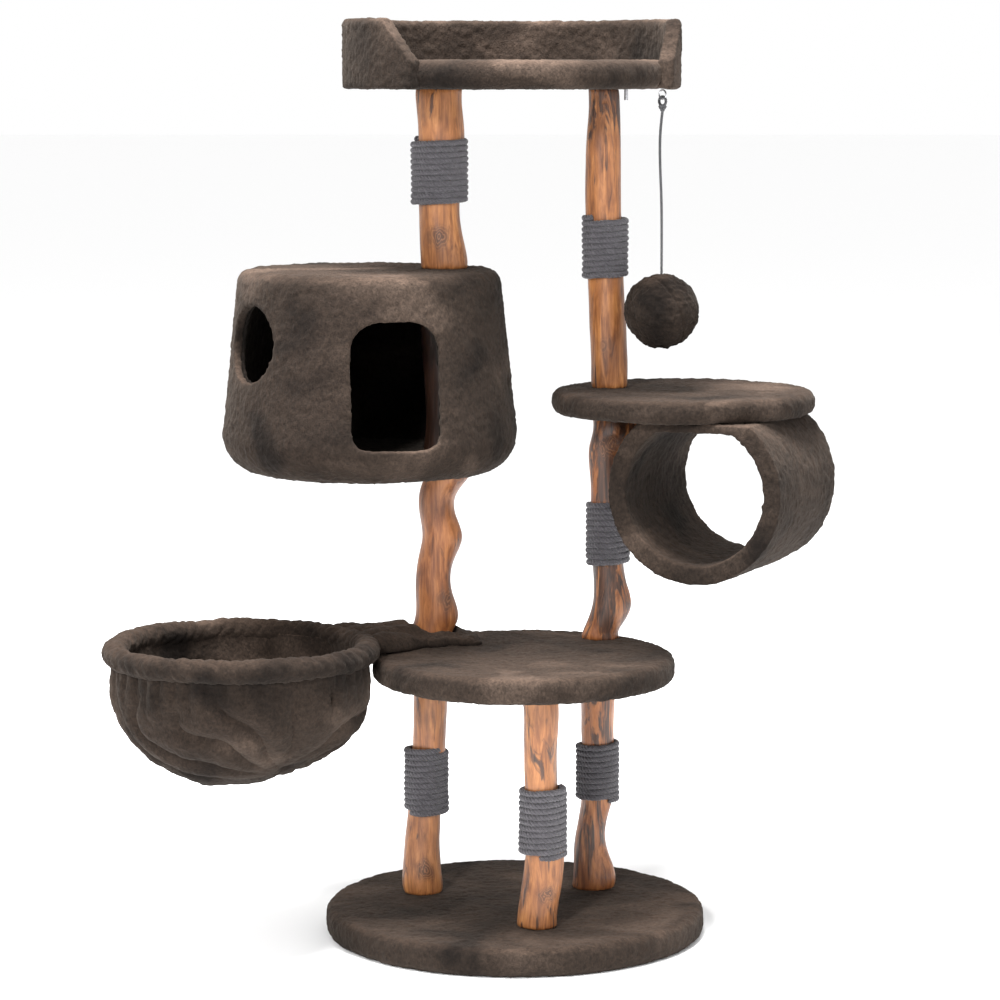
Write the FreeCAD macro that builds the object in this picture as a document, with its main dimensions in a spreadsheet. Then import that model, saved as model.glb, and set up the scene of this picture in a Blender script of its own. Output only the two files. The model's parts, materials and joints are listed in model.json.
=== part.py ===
"""Cat tree with natural wood posts, built as a parametric FreeCAD document.

Frame: millimetres, +Z up, origin at the centre of the base disc's underside.
+X runs from the hammock side to the tunnel side, and +Y runs to the back.
"""
import FreeCAD, Part
import Sketcher
import math
import os
import re

from FreeCAD import Placement, Rotation, Vector

doc = FreeCAD.newDocument("cat_tree")
sheet = doc.addObject("Spreadsheet::Sheet", "Dimensions")

# ---------------------------------------------------------------- driving dimensions
DIMENSIONS = {
    # plush cover on every board, and the soft edge it makes
    "plush_skin": 7, "plush_edge": 14, "backing_thick": 2, "hem_width": 26,
    # round platforms: centre, radius and covered thickness
    "base_radius": 300, "base_thick": 46,
    "mid_x": 13, "mid_y": -50, "mid_radius": 236, "mid_thick": 41,
    "side_x": 266, "side_y": 60, "side_radius": 208, "side_thick": 36,
    "bed_x": -5, "bed_y": 70, "bed_radius": 240, "bed_thick": 43,
    # post lengths between the platforms
    "lower_length": 369, "middle_right_length": 368, "upper_right_length": 473,
    "middle_left_length": 277,
    # where each fastener axis stands on each level
    "base_left_x": -148, "base_left_y": 64, "base_right_x": 124, "base_right_y": 98,
    "base_front_x": 34, "base_front_y": -155,
    "mid_left_x": -132, "mid_left_y": 66, "mid_right_x": 137, "mid_right_y": 98,
    "mid_front_x": 35, "mid_front_y": -155,
    "house_left_x": -114, "house_left_y": 66,
    "side_right_x": 150, "side_right_y": 97,
    "bed_left_x": -119, "bed_left_y": 66, "bed_right_x": 139, "bed_right_y": 98,
    # fasteners
    "stud_radius": 5, "stud_reach": 45, "stud_play": 0.1,
    "head_radius": 9, "head_thick": 6, "washer_radius": 13, "washer_thick": 2,
    # house: a drum that widens to a belly above its rounded bottom edge
    "house_x": -229, "house_y": 45, "house_height": 318,
    "house_top_radius": 205, "house_foot_radius": 238,
    "house_bottom_edge": 60, "house_top_edge": 22,
    "house_plush": 8, "house_wall": 5, "house_lining": 6, "house_board": 15,
    "door_angle": 13, "door_width": 138, "door_height": 194, "door_sill": 55,
    "door_top_round": 46, "door_foot_round": 26, "door_hem": 6,
    "side_door_angle": -57.5, "side_door_radius": 60, "side_door_rise": 209,
    # tunnel: a padded tube whose top is flattened against the side platform
    "tunnel_x": 326, "tunnel_y": -7, "tunnel_angle": -24, "tunnel_length": 266,
    "tunnel_radius": 141, "tunnel_drop": 108, "tunnel_plush": 11, "tunnel_core": 7,
    "tunnel_lining": 11, "tunnel_rim": 10, "tunnel_edge": 9,
    "tunnel_bolt_spacing": 130,
    # bed wall
    "wall_thick": 25, "wall_height": 107, "wall_core": 9, "wall_opening": 105,
    "wall_turn": 17, "wall_slope": 62, "wall_edge": 9, "wall_pad": 8,
    "spare_bolt_x": 175, "spare_bolt_y": 98, "spare_bolt_drop": 19, "spare_bolt_radius": 3,
    # hammock
    "hammock_reach": 346, "hammock_angle": 212.6, "hoop_radius": 195, "hoop_wire": 3,
    "hoop_rise": 17, "sleeve_radius": 16, "bowl_radius": 203, "bowl_depth": 170,
    "bowl_drop": 40, "bowl_cloth": 4, "arm_spread": 14, "plate_radius": 26,
    "plate_thick": 3, "plate_width": 44, "plate_reach": 66, "lug_start": 44,
    "neck_width": 72, "neck_thick": 26, "collar_radius": 84, "collar_bore": 41,
    "collar_thick": 8, "swivel_gap": 0.3, "seam_gap": 0.2,
    # rope wraps
    "rope_thick": 9, "upper_left_rope": 111, "upper_right_rope": 104,
    "middle_right_rope": 104, "lower_left_rope": 113, "lower_front_rope": 114,
    "lower_right_rope": 102,
    # hanging toy
    "toy_x": 229, "toy_y": 25, "toy_turn": 45, "eye_radius": 7, "eye_wire": 1.3,
    "eye_shank": 14, "loop_radius": 7, "cord_radius": 2.2, "knot_radius": 5,
    "ball_radius": 59, "ball_drop": 346,
}
for row, (alias, number) in enumerate(DIMENSIONS.items(), start=1):
    sheet.set(f"A{row}", alias)
    sheet.set(f"B{row}", str(number))
    sheet.setAlias(f"B{row}", alias)
doc.recompute()

# Levels that the driving dimensions add up to.
LEVELS = {
    "mid_under": "base_thick + lower_length",
    "mid_top": "base_thick + lower_length + mid_thick",
    "side_under": "mid_top + middle_right_length",
    "side_top": "mid_top + middle_right_length + side_thick",
    "bed_under": "side_top + upper_right_length",
    "bed_top": "side_top + upper_right_length + bed_thick",
    "left_foot": "mid_top + plate_thick + 2 * swivel_gap",
    "house_under": "mid_top + middle_left_length",
    "house_top": "mid_top + middle_left_length + house_height",
    "frame_inset": "house_plush",
    "room_inset": "house_plush + house_wall",
    "lining_inset": "house_plush + house_wall + house_lining",
    "tunnel_axis": "side_under - tunnel_drop",
    "hoop_level": "mid_top + hoop_rise",
    "eye_level": "bed_under - eye_radius - 2 * eye_wire",
    "pivot_level": "bed_under - 2 * eye_radius - 2 * eye_wire",
    "knot_level": "bed_under - 2 * eye_radius - 2 * eye_wire - 2 * loop_radius - knot_radius + 6",
    "ball_level": "bed_under - ball_drop",
}
for row, (alias, formula) in enumerate(LEVELS.items(), start=1):
    sheet.set(f"D{row}", alias)
    sheet.set(f"E{row}", "=" + formula)
    sheet.setAlias(f"E{row}", alias)
doc.recompute()

ALIASES = set(DIMENSIONS) | set(LEVELS)
SCRATCH_CELL = "G1"


def qualified(expression):
    """Point each alias in an expression at the sheet."""
    def named(match):
        word = match.group(0)
        return f"Dimensions.{word}" if word in ALIASES else word
    return re.sub(r"[a-z][a-z_]*", named, str(expression))


def value(expression):
    """The number that an expression of aliases stands for."""
    sheet.set(SCRATCH_CELL, f"={expression}")
    sheet.recompute()
    return float(sheet.get(SCRATCH_CELL))


def bind(thing, **properties):
    """Drive each named property by an expression of aliases."""
    for name, expression in properties.items():
        thing.setExpression(name, qualified(expression))
    return thing


def place(thing, x=0, y=0, z=0, turn=None, axis=Vector(0, 0, 1)):
    """Drive an object's position, and its turn about one axis, from the sheet."""
    angle = 0 if turn is None else value(turn)
    spot = Vector(value(x), value(y), value(z))
    thing.Placement = Placement(spot, Rotation(axis, angle))
    for key, expression in (("x", x), ("y", y), ("z", z)):
        thing.setExpression(f"Placement.Base.{key}", qualified(expression))
    if turn is not None:
        thing.setExpression("Placement.Rotation.Angle", qualified(turn))
    return thing


SUBPARTS = []


def subpart(thing, label):
    """Name a finished sub-part; its label is its file name."""
    thing.Label = label
    SUBPARTS.append(thing)
    return thing


# ---------------------------------------------------------------- primitives and booleans
def cylinder(name, radius, height, x=0, y=0, z=0, **turned):
    thing = doc.addObject("Part::Cylinder", name)
    bind(thing, Radius=radius, Height=height)
    return place(thing, x, y, z, **turned)


def box(name, length, width, height):
    thing = doc.addObject("Part::Box", name)
    return bind(thing, Length=length, Width=width, Height=height)


def torus(name, ring, wire, x, y, z, **turned):
    thing = doc.addObject("Part::Torus", name)
    bind(thing, Radius1=ring, Radius2=wire)
    return place(thing, x, y, z, **turned)


def fuse(name, *pieces):
    thing = doc.addObject("Part::MultiFuse", name)
    thing.Shapes = list(pieces)
    return thing


def cut(name, base, *tools):
    thing = doc.addObject("Part::Cut", name)
    thing.Base = base
    thing.Tool = tools[0] if len(tools) == 1 else fuse(f"{name}_tools", *tools)
    return thing


def common(name, first, second):
    thing = doc.addObject("Part::MultiCommon", name)
    thing.Shapes = [first, second]
    return thing


def feature(name, shape):
    thing = doc.addObject("Part::Feature", name)
    thing.Shape = shape
    return thing


# ---------------------------------------------------------------- PartDesign bodies
def new_body(name):
    return doc.addObject("PartDesign::Body", name)


def origin_feature(body, role):
    return next(item for item in body.Origin.OriginFeatures if item.Role == role)


def sketch_on(body, role):
    sketch = body.newObject("Sketcher::SketchObject", f"{body.Name}_sketch")
    sketch.AttachmentSupport = [(origin_feature(body, role), "")]
    sketch.MapMode = "FlatFace"
    return sketch


def dimension(sketch, kind, references, expression, name):
    """Add one driving constraint and bind it to the sheet."""
    from_constraint = Sketcher.Constraint(kind, *references, value(expression))
    index = sketch.addConstraint(from_constraint)
    sketch.renameConstraint(index, name)
    sketch.setExpression(f"Constraints.{name}", qualified(expression))


def polygon(sketch, corners):
    """A closed outline of straight lines, each corner placed from the sheet."""
    spots = [Vector(value(x), value(y), 0) for x, y in corners]
    count = len(spots)
    for number, spot in enumerate(spots):
        sketch.addGeometry(Part.LineSegment(spot, spots[(number + 1) % count]), False)
    for number in range(count):
        following = (number + 1) % count
        sketch.addConstraint(Sketcher.Constraint("Coincident", number, 2, following, 1))
    for number, (x, y) in enumerate(corners):
        dimension(sketch, "DistanceX", (-1, 1, number, 1), x, f"across_{number}")
        dimension(sketch, "DistanceY", (-1, 1, number, 1), y, f"along_{number}")


def pad(body, sketch, length, midplane=False):
    thing = body.newObject("PartDesign::Pad", f"{body.Name}_pad")
    thing.Profile = sketch
    thing.Midplane = midplane
    return bind(thing, Length=length)


def revolve(body, sketch, angle="360"):
    thing = body.newObject("PartDesign::Revolution", f"{body.Name}_revolution")
    thing.Profile = sketch
    thing.ReferenceAxis = (origin_feature(body, "Z_Axis"), [""])
    return bind(thing, Angle=angle)


def round_edges(body, base, suffix, radius, wanted):
    """Fillet the edges of a feature that the given test picks out."""
    doc.recompute()
    names = [f"Edge{number}" for number, edge in enumerate(base.Shape.Edges, start=1) if wanted(edge)]
    thing = body.newObject("PartDesign::Fillet", f"{body.Name}_{suffix}")
    thing.Base = (base, names)
    bind(thing, Radius=radius)
    body.Tip = thing
    return thing


def is_ring(edge, level, least_radius=1.0):
    """True for a circular edge that lies flat at the given height."""
    curve = edge.Curve
    if not isinstance(curve, Part.Circle) or curve.Radius < least_radius:
        return False
    return abs(edge.BoundBox.ZMax - level) < 0.01 and edge.BoundBox.ZLength < 0.01


def padded_disc(name, radius, thickness, edge, x, y, z):
    """A disc with softly rounded top and bottom edges."""
    body = new_body(name)
    sketch = sketch_on(body, "XY_Plane")
    sketch.addGeometry(Part.Circle(Vector(0, 0, 0), Vector(0, 0, 1), value(radius)), False)
    sketch.addConstraint(Sketcher.Constraint("Coincident", 0, 3, -1, 1))
    dimension(sketch, "Radius", (0,), radius, "disc_radius")
    disc = pad(body, sketch, thickness)
    height = value(thickness)
    round_edges(body, disc, "edges", edge, lambda e: is_ring(e, 0) or is_ring(e, height))
    return place(body, x, y, z)


# ---------------------------------------------------------------- platforms
def stud_hole(name, x, y, z, height):
    """A clearance hole for one fastener."""
    return cylinder(name, "stud_radius + stud_play", height, x, y, z)


def platform(label, radius, thickness, x, y, z, axes, board_hole_extra=()):
    """A round board wrapped in plush, with a hole at each fastener axis."""
    board = cylinder(f"{label}_board_blank", f"{radius} - plush_skin",
                     f"{thickness} - 2 * plush_skin", x, y, f"{z} + plush_skin")
    holes = [stud_hole(f"{label}_hole_{number}", axis_x, axis_y, z, thickness)
             for number, (axis_x, axis_y) in enumerate(axes)]
    bored = cut(f"{label}_board_cut", board, *holes, *board_hole_extra)
    subpart(bored, f"{label}_board")
    cover = padded_disc(f"{label}_cover_blank", radius, thickness, "plush_edge", x, y, z)
    return board, cover, holes


# base: the plush wraps over the rim and is stapled under it, round a felt backing
base_board_blank = cylinder("base_board_blank", "base_radius - plush_skin",
                            "base_thick - plush_skin - backing_thick", 0, 0, "backing_thick")
base_axes = [("base_left_x", "base_left_y"), ("base_right_x", "base_right_y"),
             ("base_front_x", "base_front_y")]
base_holes = [stud_hole(f"base_hole_{number}", x, y, 0, "base_thick")
              for number, (x, y) in enumerate(base_axes)]
base_recesses = [cylinder(f"base_recess_{number}", "washer_radius + 1",
                          "backing_thick + head_thick + washer_thick", x, y, 0)
                 for number, (x, y) in enumerate(base_axes)]
subpart(cut("base_board_cut", base_board_blank, *base_holes, *base_recesses), "base_board")
base_backing_blank = cylinder("base_backing_blank", "base_radius - hem_width", "backing_thick")
base_cover = padded_disc("base_cover_blank", "base_radius", "base_thick", "plush_edge", 0, 0, 0)
subpart(cut("base_plush_cut", base_cover, base_board_blank, base_backing_blank, *base_holes),
        "base_plush")
subpart(cut("base_backing_cut", base_backing_blank, *base_recesses), "base_backing")

mid_axes = [("mid_left_x", "mid_left_y"), ("mid_right_x", "mid_right_y"),
            ("mid_front_x", "mid_front_y")]
front_head = cylinder("mid_front_recess", "head_radius + 0.5", "head_thick",
                      "mid_front_x", "mid_front_y", "mid_top - plush_skin - head_thick")
mid_board, mid_cover, mid_holes = platform("mid", "mid_radius", "mid_thick", "mid_x", "mid_y",
                                           "mid_under", mid_axes, (front_head,))
front_under = stud_hole("mid_front_under", "mid_front_x", "mid_front_y", "mid_under", "mid_thick / 2")
subpart(cut("mid_plush_cut", mid_cover, mid_board, mid_holes[0], mid_holes[1], front_under),
        "mid_plush")

side_axes = [("side_right_x", "side_right_y")]
TUNNEL_BOLTS = [(f"tunnel_x + {sign}0.5 * tunnel_bolt_spacing * sin(-tunnel_angle * 1deg)",
                 f"tunnel_y + {sign}0.5 * tunnel_bolt_spacing * cos(tunnel_angle * 1deg)")
                for sign in ("", "-")]
tunnel_recesses = [cylinder(f"tunnel_recess_{number}", "head_radius + 0.5", "head_thick", x, y,
                            "side_top - plush_skin - head_thick")
                   for number, (x, y) in enumerate(TUNNEL_BOLTS)]
tunnel_holes = [stud_hole(f"tunnel_hole_{number}", x, y, "side_under - 20",
                          "20 + side_thick - plush_skin")
                for number, (x, y) in enumerate(TUNNEL_BOLTS)]
side_board, side_cover, side_holes = platform("side", "side_radius", "side_thick", "side_x",
                                              "side_y", "side_under", side_axes,
                                              (*tunnel_recesses, *tunnel_holes))
subpart(cut("side_plush_cut", side_cover, side_board, side_holes[0], *tunnel_holes), "side_plush")

bed_axes = [("bed_left_x", "bed_left_y"), ("bed_right_x", "bed_right_y")]
bed_recesses = [cylinder(f"bed_recess_{number}", "head_radius + 0.5", "head_thick", x, y,
                         "bed_top - plush_skin - head_thick")
                for number, (x, y) in enumerate(bed_axes)]
spare_hole = cylinder("spare_hole", "spare_bolt_radius + stud_play", "bed_thick / 2",
                      "spare_bolt_x", "spare_bolt_y", "bed_under")
eye_hole = cylinder("eye_hole", "eye_wire + stud_play", "plush_skin + eye_shank",
                    "toy_x", "toy_y", "bed_under")
bed_board, bed_cover, bed_holes = platform("bed", "bed_radius", "bed_thick", "bed_x", "bed_y",
                                           "bed_under", bed_axes,
                                           (*bed_recesses, spare_hole, eye_hole))
bed_unders = [stud_hole(f"bed_under_{number}", x, y, "bed_under", "bed_thick / 2")
              for number, (x, y) in enumerate(bed_axes)]
subpart(cut("bed_plush_cut", bed_cover, bed_board, *bed_unders, spare_hole, eye_hole), "bed_plush")

# ---------------------------------------------------------------- wood posts
SECTION_POINTS = 12


def ring_wire(spot, radius, phase, lobes):
    """One closed cross-section of a limb, slightly out of round."""
    points = []
    for number in range(SECTION_POINTS):
        angle = 2 * math.pi * number / SECTION_POINTS
        swell = 1 + 0.035 * math.cos(2 * angle + phase) + 0.02 * math.cos(3 * angle - 2 * phase)
        for direction, height in lobes:
            away = math.radians(direction) - angle
            away = math.atan2(math.sin(away), math.cos(away))
            swell += height / radius * math.exp(-(away / 0.55) ** 2)
        points.append(spot + Vector(math.cos(angle), math.sin(angle), 0) * (radius * swell))
    curve = Part.BSplineCurve()
    curve.interpolate(points, PeriodicFlag=True)
    return Part.Wire(curve.toShape())


def limb(name, start, end, rings, phase):
    """A natural wood post lofted through rings.

    start and end are (x, y, level) expressions.  Each ring is (share of the length,
    sideways x, sideways y, radius, lobes), where a lobe is (direction, height) of a knot.
    """
    low = Vector(*(value(item) for item in start))
    high = Vector(*(value(item) for item in end))
    wires = []
    for number, (share, aside_x, aside_y, radius, lobes) in enumerate(rings):
        spot = low + (high - low) * share + Vector(aside_x, aside_y, 0)
        wires.append(ring_wire(spot, radius, phase + 0.5 * number, lobes))
    return feature(name, Part.makeLoft(wires, True, False))


def post(label, start, end, rings, phase, bores):
    """A limb with a blind bore for the fastener at each end."""
    blank = limb(f"{label}_limb", start, end, rings, phase)
    holes = [cylinder(f"{label}_bore_{number}", "stud_radius + stud_play", "stud_reach + 2", x, y, z)
             for number, (x, y, z) in enumerate(bores)]
    subpart(cut(f"{label}_cut", blank, *holes), label)
    return blank


def between(bottom, top, low, high):
    """A post's two ends, and where its two bores start."""
    start = (*bottom, low)
    end = (*top, high)
    return start, end, [(*bottom, low), (*top, f"{high} - stud_reach - 2")]


BASE_LEFT, BASE_RIGHT, BASE_FRONT = base_axes
MID_LEFT, MID_RIGHT, MID_FRONT = mid_axes
HOUSE_LEFT = ("house_left_x", "house_left_y")
SIDE_RIGHT = ("side_right_x", "side_right_y")
BED_LEFT, BED_RIGHT = bed_axes

start, end, bores = between(BASE_LEFT, MID_LEFT, "base_thick", "mid_under")
lower_left = post("post_lower_left", start, end, [
    (0, 0, 0, 30, ()), (0.14, -3, 0, 29, ((215, 4),)), (0.3, -4, 3, 27, ()),
    (0.62, 0, 3, 27, ()), (0.85, -1, 0, 27.5, ()), (1, 0, 0, 29, ())], 0.4, bores)

start, end, bores = between(BASE_FRONT, MID_FRONT, "base_thick", "mid_under")
lower_front = post("post_lower_front", start, end, [
    (0, 0, 0, 31, ()), (0.1, 3, 0, 31, ()), (0.26, 9, 2, 29, ((340, 4),)), (0.5, 8, 3, 28, ()),
    (0.8, 4, 1, 27.5, ()), (1, 0, 0, 29, ())], 1.3, bores)

start, end, bores = between(BASE_RIGHT, MID_RIGHT, "base_thick", "mid_under")
lower_right = post("post_lower_right", start, end, [
    (0, 0, 0, 32, ((350, 4),)), (0.07, 0, 0, 31, ((345, 7),)), (0.18, -4, 0, 27, ()),
    (0.38, 3, 3, 26, ()), (0.68, 1, 2, 27, ()), (0.85, 0, 0, 28, ()), (1, 0, 0, 28, ())], 2.1, bores)

start, end, bores = between(MID_LEFT, HOUSE_LEFT, "left_foot", "house_under")
middle_left = post("post_middle_left", start, end, [
    (0, 0, 0, 33, ((0, 2),)), (0.1, 1, 0, 32, ((350, 5),)), (0.28, -2, 0, 30, ()),
    (0.46, -2, 2, 30, ()), (0.6, 3, 1, 31, ((5, 5),)), (0.74, -5, 0, 30, ()),
    (0.9, -1, 0, 33, ()), (1, 0, 0, 34, ())], 0.9, bores)

start, end, bores = between(HOUSE_LEFT, BED_LEFT, "house_top", "bed_under")
upper_left = post("post_upper_left", start, end, [
    (0, 3, 0, 37, ()), (0.1, 2, 0, 35.5, ((200, 3),)), (0.24, -4, 0, 34, ()), (0.5, -2, 1, 35, ()),
    (0.8, 1, 0, 37, ()), (1, 0, 0, 37, ())], 1.8, bores)

start, end, bores = between(MID_RIGHT, SIDE_RIGHT, "mid_top", "side_under")
middle_right = post("post_middle_right", start, end, [
    (0, 0, 0, 32, ()), (0.06, 5, 0, 31, ()), (0.14, 14, 0, 30, ((0, 5),)), (0.24, 13, 2, 27, ()),
    (0.42, 6, 3, 26, ()), (0.68, 3, 2, 27, ()), (0.84, 0, 0, 28, ((10, 5),)), (1, 0, 0, 29, ())],
    2.7, bores)

start, end, bores = between(SIDE_RIGHT, BED_RIGHT, "side_top", "bed_under")
upper_right = post("post_upper_right", start, end, [
    (0, 0, 0, 28, ()), (0.2, 0, 1, 28, ((250, 3),)), (0.38, -2, 2, 28, ()), (0.62, -3, 2, 28.5, ()),
    (0.78, -2, 0, 28, ()), (0.9, 0, 0, 26, ()), (1, 0, 0, 25, ())], 0.2, bores)

# the post that stands inside the house, from floor to ceiling
room_floor = "house_under + lining_inset + house_board - house_wall"
room_ceiling = "house_top - lining_inset - house_board + house_wall"
start, end, bores = between(HOUSE_LEFT, HOUSE_LEFT, room_floor, room_ceiling)
house_limb = post("house_post", start, end, [
    (0, 0, 0, 31, ()), (0.35, 2, 0, 30, ()), (0.7, -2, 2, 31, ((180, 3),)), (1, 0, 0, 32, ())],
    1.1, bores)

# ---------------------------------------------------------------- fasteners
def stud(name, axis, z, length):
    """A headless double-ended stud."""
    return cylinder(name, "stud_radius", length, *axis, z)


def headed(name, axis, head_level, reach):
    """A bolt whose head lies at a level and whose shank runs down from it."""
    head = doc.addObject("Part::Prism", f"{name}_head")
    bind(head, Circumradius="head_radius", Height="head_thick")
    place(head, *axis, head_level)
    shank = cylinder(f"{name}_shank", "stud_radius", reach, *axis, f"{head_level} - ({reach})")
    return fuse(name, head, shank)


base_bolts = []
base_washers = []
for number, axis in enumerate(base_axes):
    head = doc.addObject("Part::Prism", f"base_bolt_head_{number}")
    bind(head, Circumradius="head_radius", Height="head_thick")
    place(head, *axis, "backing_thick")
    shank = cylinder(f"base_bolt_shank_{number}", "stud_radius",
                     "base_thick + stud_reach - backing_thick - head_thick", *axis,
                     "backing_thick + head_thick")
    base_bolts.append(fuse(f"base_bolt_{number}", head, shank))
    disc = cylinder(f"base_washer_disc_{number}", "washer_radius", "washer_thick", *axis,
                    "backing_thick + head_thick")
    bore = cylinder(f"base_washer_bore_{number}", "stud_radius + stud_play", "washer_thick", *axis,
                    "backing_thick + head_thick")
    base_washers.append(cut(f"base_washer_{number}", disc, bore))


def group(label, pieces):
    """Identical fasteners share one node as separate solids."""
    thing = doc.addObject("Part::Compound", f"{label}_group")
    thing.Links = list(pieces)
    return subpart(thing, label)


group("base_bolts", base_bolts)
group("base_washers", base_washers)
group("mid_studs", [
    stud("mid_left_stud", MID_LEFT, "mid_under - stud_reach",
         "2 * stud_reach + left_foot - mid_under"),
    stud("mid_right_stud", MID_RIGHT, "mid_under - stud_reach", "2 * stud_reach + mid_thick")])
subpart(headed("mid_front_bolt_body", MID_FRONT, "mid_top - plush_skin - head_thick",
               "mid_thick - plush_skin - head_thick + stud_reach"), "mid_front_bolt")
subpart(stud("side_stud_body", SIDE_RIGHT, "side_under - stud_reach", "2 * stud_reach + side_thick"),
        "side_stud")
group("house_studs", [
    stud("house_floor_stud", HOUSE_LEFT, "house_under - stud_reach",
         f"2 * stud_reach + {room_floor} - house_under"),
    stud("house_ceiling_stud", HOUSE_LEFT, f"{room_ceiling} - stud_reach",
         f"2 * stud_reach + house_top - ({room_ceiling})")])
group("bed_bolts", [headed(f"bed_bolt_{number}", axis, "bed_top - plush_skin - head_thick",
                           "bed_thick - plush_skin - head_thick + stud_reach")
                    for number, axis in enumerate(bed_axes)])
subpart(cylinder("spare_bolt_body", "spare_bolt_radius", "spare_bolt_drop + bed_thick / 2",
                 "spare_bolt_x", "spare_bolt_y", "bed_under - spare_bolt_drop"), "bed_spare_bolt")

# ---------------------------------------------------------------- house
def drum(name, inset):
    """The house's outer form, shrunk evenly by an inset."""
    body = new_body(name)
    sketch = sketch_on(body, "XZ_Plane")
    height = f"house_height - ({inset})"
    polygon(sketch, [("0", inset), (f"house_foot_radius - ({inset})", inset),
                     (f"house_top_radius - ({inset})", height), ("0", height)])
    turned = revolve(body, sketch)
    low, high = value(inset), value(height)
    foot = round_edges(body, turned, "foot", f"house_bottom_edge - ({inset})",
                       lambda e: is_ring(e, low))
    round_edges(body, foot, "brow", f"max(house_top_edge - ({inset}); 2)",
                lambda e: is_ring(e, high))
    return place(body, "house_x", "house_y", "house_under")


def slab(name, low, high):
    """A disc that spans the house between two heights above its underside."""
    return cylinder(name, "house_foot_radius + 20", f"{high} - ({low})", "house_x", "house_y",
                    f"house_under + {low}")


def arch(name, grow):
    """A prism with the doorway's outline, made wider all round by a margin."""
    body = new_body(name)
    sketch = sketch_on(body, "XZ_Plane")
    half = f"door_width / 2 + {grow}"
    low, high = f"door_sill - {grow}", f"door_sill + door_height + {grow}"
    polygon(sketch, [(f"-({half})", low), (half, low), (half, high), (f"-({half})", high)])
    block = pad(body, sketch, "house_foot_radius + 20")
    foot_level, head_level = value(low), value(high)

    def runs_through(edge, level):
        flat = abs(edge.BoundBox.ZMax - level) < 0.01 and edge.BoundBox.ZLength < 0.01
        return flat and edge.BoundBox.YLength > 50
    foot = round_edges(body, block, "foot", f"door_foot_round + {grow}",
                       lambda e: runs_through(e, foot_level))
    round_edges(body, foot, "head", f"door_top_round + {grow}",
                lambda e: runs_through(e, head_level))
    return place(body, "house_x", "house_y", "house_under", turn="door_angle")


def round_door(name, grow):
    """A cylinder along the side doorway's axis."""
    thing = doc.addObject("Part::Cylinder", name)
    bind(thing, Radius=f"side_door_radius + {grow}", Height="house_foot_radius + 20")
    tilt = Rotation(Vector(0, 0, 1), value("side_door_angle")) * Rotation(Vector(1, 0, 0), 90)
    thing.Placement = Placement(Vector(value("house_x"), value("house_y"),
                                       value("house_under + side_door_rise")), tilt)
    return thing


floor_top = "frame_inset + house_board"
ceiling_low = "house_height - frame_inset - house_board"
drum_outer = drum("drum_outer", "0")
drum_frame = drum("drum_frame", "frame_inset")
drum_room = drum("drum_room", "room_inset")
drum_inner = drum("drum_inner", "lining_inset")
house_bore_low = stud_hole("house_bore_low", *HOUSE_LEFT, "house_under", "60")
house_bore_high = stud_hole("house_bore_high", *HOUSE_LEFT, "house_top - 60", "60")

floor_slab = slab("floor_slab", "frame_inset", floor_top)
ceiling_slab = slab("ceiling_slab", ceiling_low, "house_height - frame_inset")
room_slab = slab("room_slab", floor_top, ceiling_low)
lining_slab = slab("lining_slab", f"{floor_top} + house_lining", f"{ceiling_low} - house_lining")

subpart(cut("house_floor_cut", common("floor_disc", drum_frame, floor_slab), house_bore_low),
        "house_floor_board")
subpart(cut("house_top_cut", common("ceiling_disc", drum_frame, ceiling_slab), house_bore_high),
        "house_top_board")
wall_band = common("wall_band", cut("wall_shell", drum_frame, drum_room), room_slab)
subpart(cut("house_wall_cut", wall_band, arch("arch_frame", "door_hem"),
            round_door("side_door_frame", "door_hem")), "house_wall")

# the plush turns in at each doorway and covers the wall's cut edge
door_edges = common("door_edges", cut("wall_shell_again", drum_frame, drum_room),
                    fuse("door_grown", arch("arch_edge", "door_hem"),
                         round_door("side_door_edge", "door_hem")))
house_skin = fuse("house_skin", cut("house_skin_shell", drum_outer, drum_frame), door_edges)
subpart(cut("house_plush_cut", house_skin, arch("arch_plush", "0"),
            round_door("side_door_plush", "0"), house_bore_low, house_bore_high), "house_plush")
lining_block = common("lining_block", drum_room, room_slab)
lining_room = common("lining_room", drum_inner, lining_slab)
subpart(cut("house_lining_cut", lining_block, lining_room, arch("arch_lining", "0"),
            round_door("side_door_lining", "0"), house_bore_low, house_bore_high), "house_lining")

# ---------------------------------------------------------------- tunnel
def flattened_tube(name, radius, top, length):
    """A round bar cut flat on top, lying along the tunnel's axis."""
    body = new_body(name)
    sketch = sketch_on(body, "XZ_Plane")
    ring, flat = value(radius), value(top)
    side = math.asin(flat / ring)
    circle = Part.Circle(Vector(0, 0, 0), Vector(0, 0, 1), ring)
    sketch.addGeometry(Part.ArcOfCircle(circle, math.pi - side, 2 * math.pi + side), False)
    half = ring * math.cos(side)
    sketch.addGeometry(Part.LineSegment(Vector(half, flat, 0), Vector(-half, flat, 0)), False)
    sketch.addConstraint(Sketcher.Constraint("Coincident", 0, 3, -1, 1))
    sketch.addConstraint(Sketcher.Constraint("Coincident", 0, 2, 1, 1))
    sketch.addConstraint(Sketcher.Constraint("Coincident", 1, 2, 0, 1))
    sketch.addConstraint(Sketcher.Constraint("Horizontal", 1))
    dimension(sketch, "Radius", (0,), radius, "ring_radius")
    dimension(sketch, "DistanceY", (-1, 1, 1, 1), top, "flat_height")
    pad(body, sketch, length, midplane=True)
    return place(body, "tunnel_x", "tunnel_y", "tunnel_axis", turn="tunnel_angle")


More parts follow.
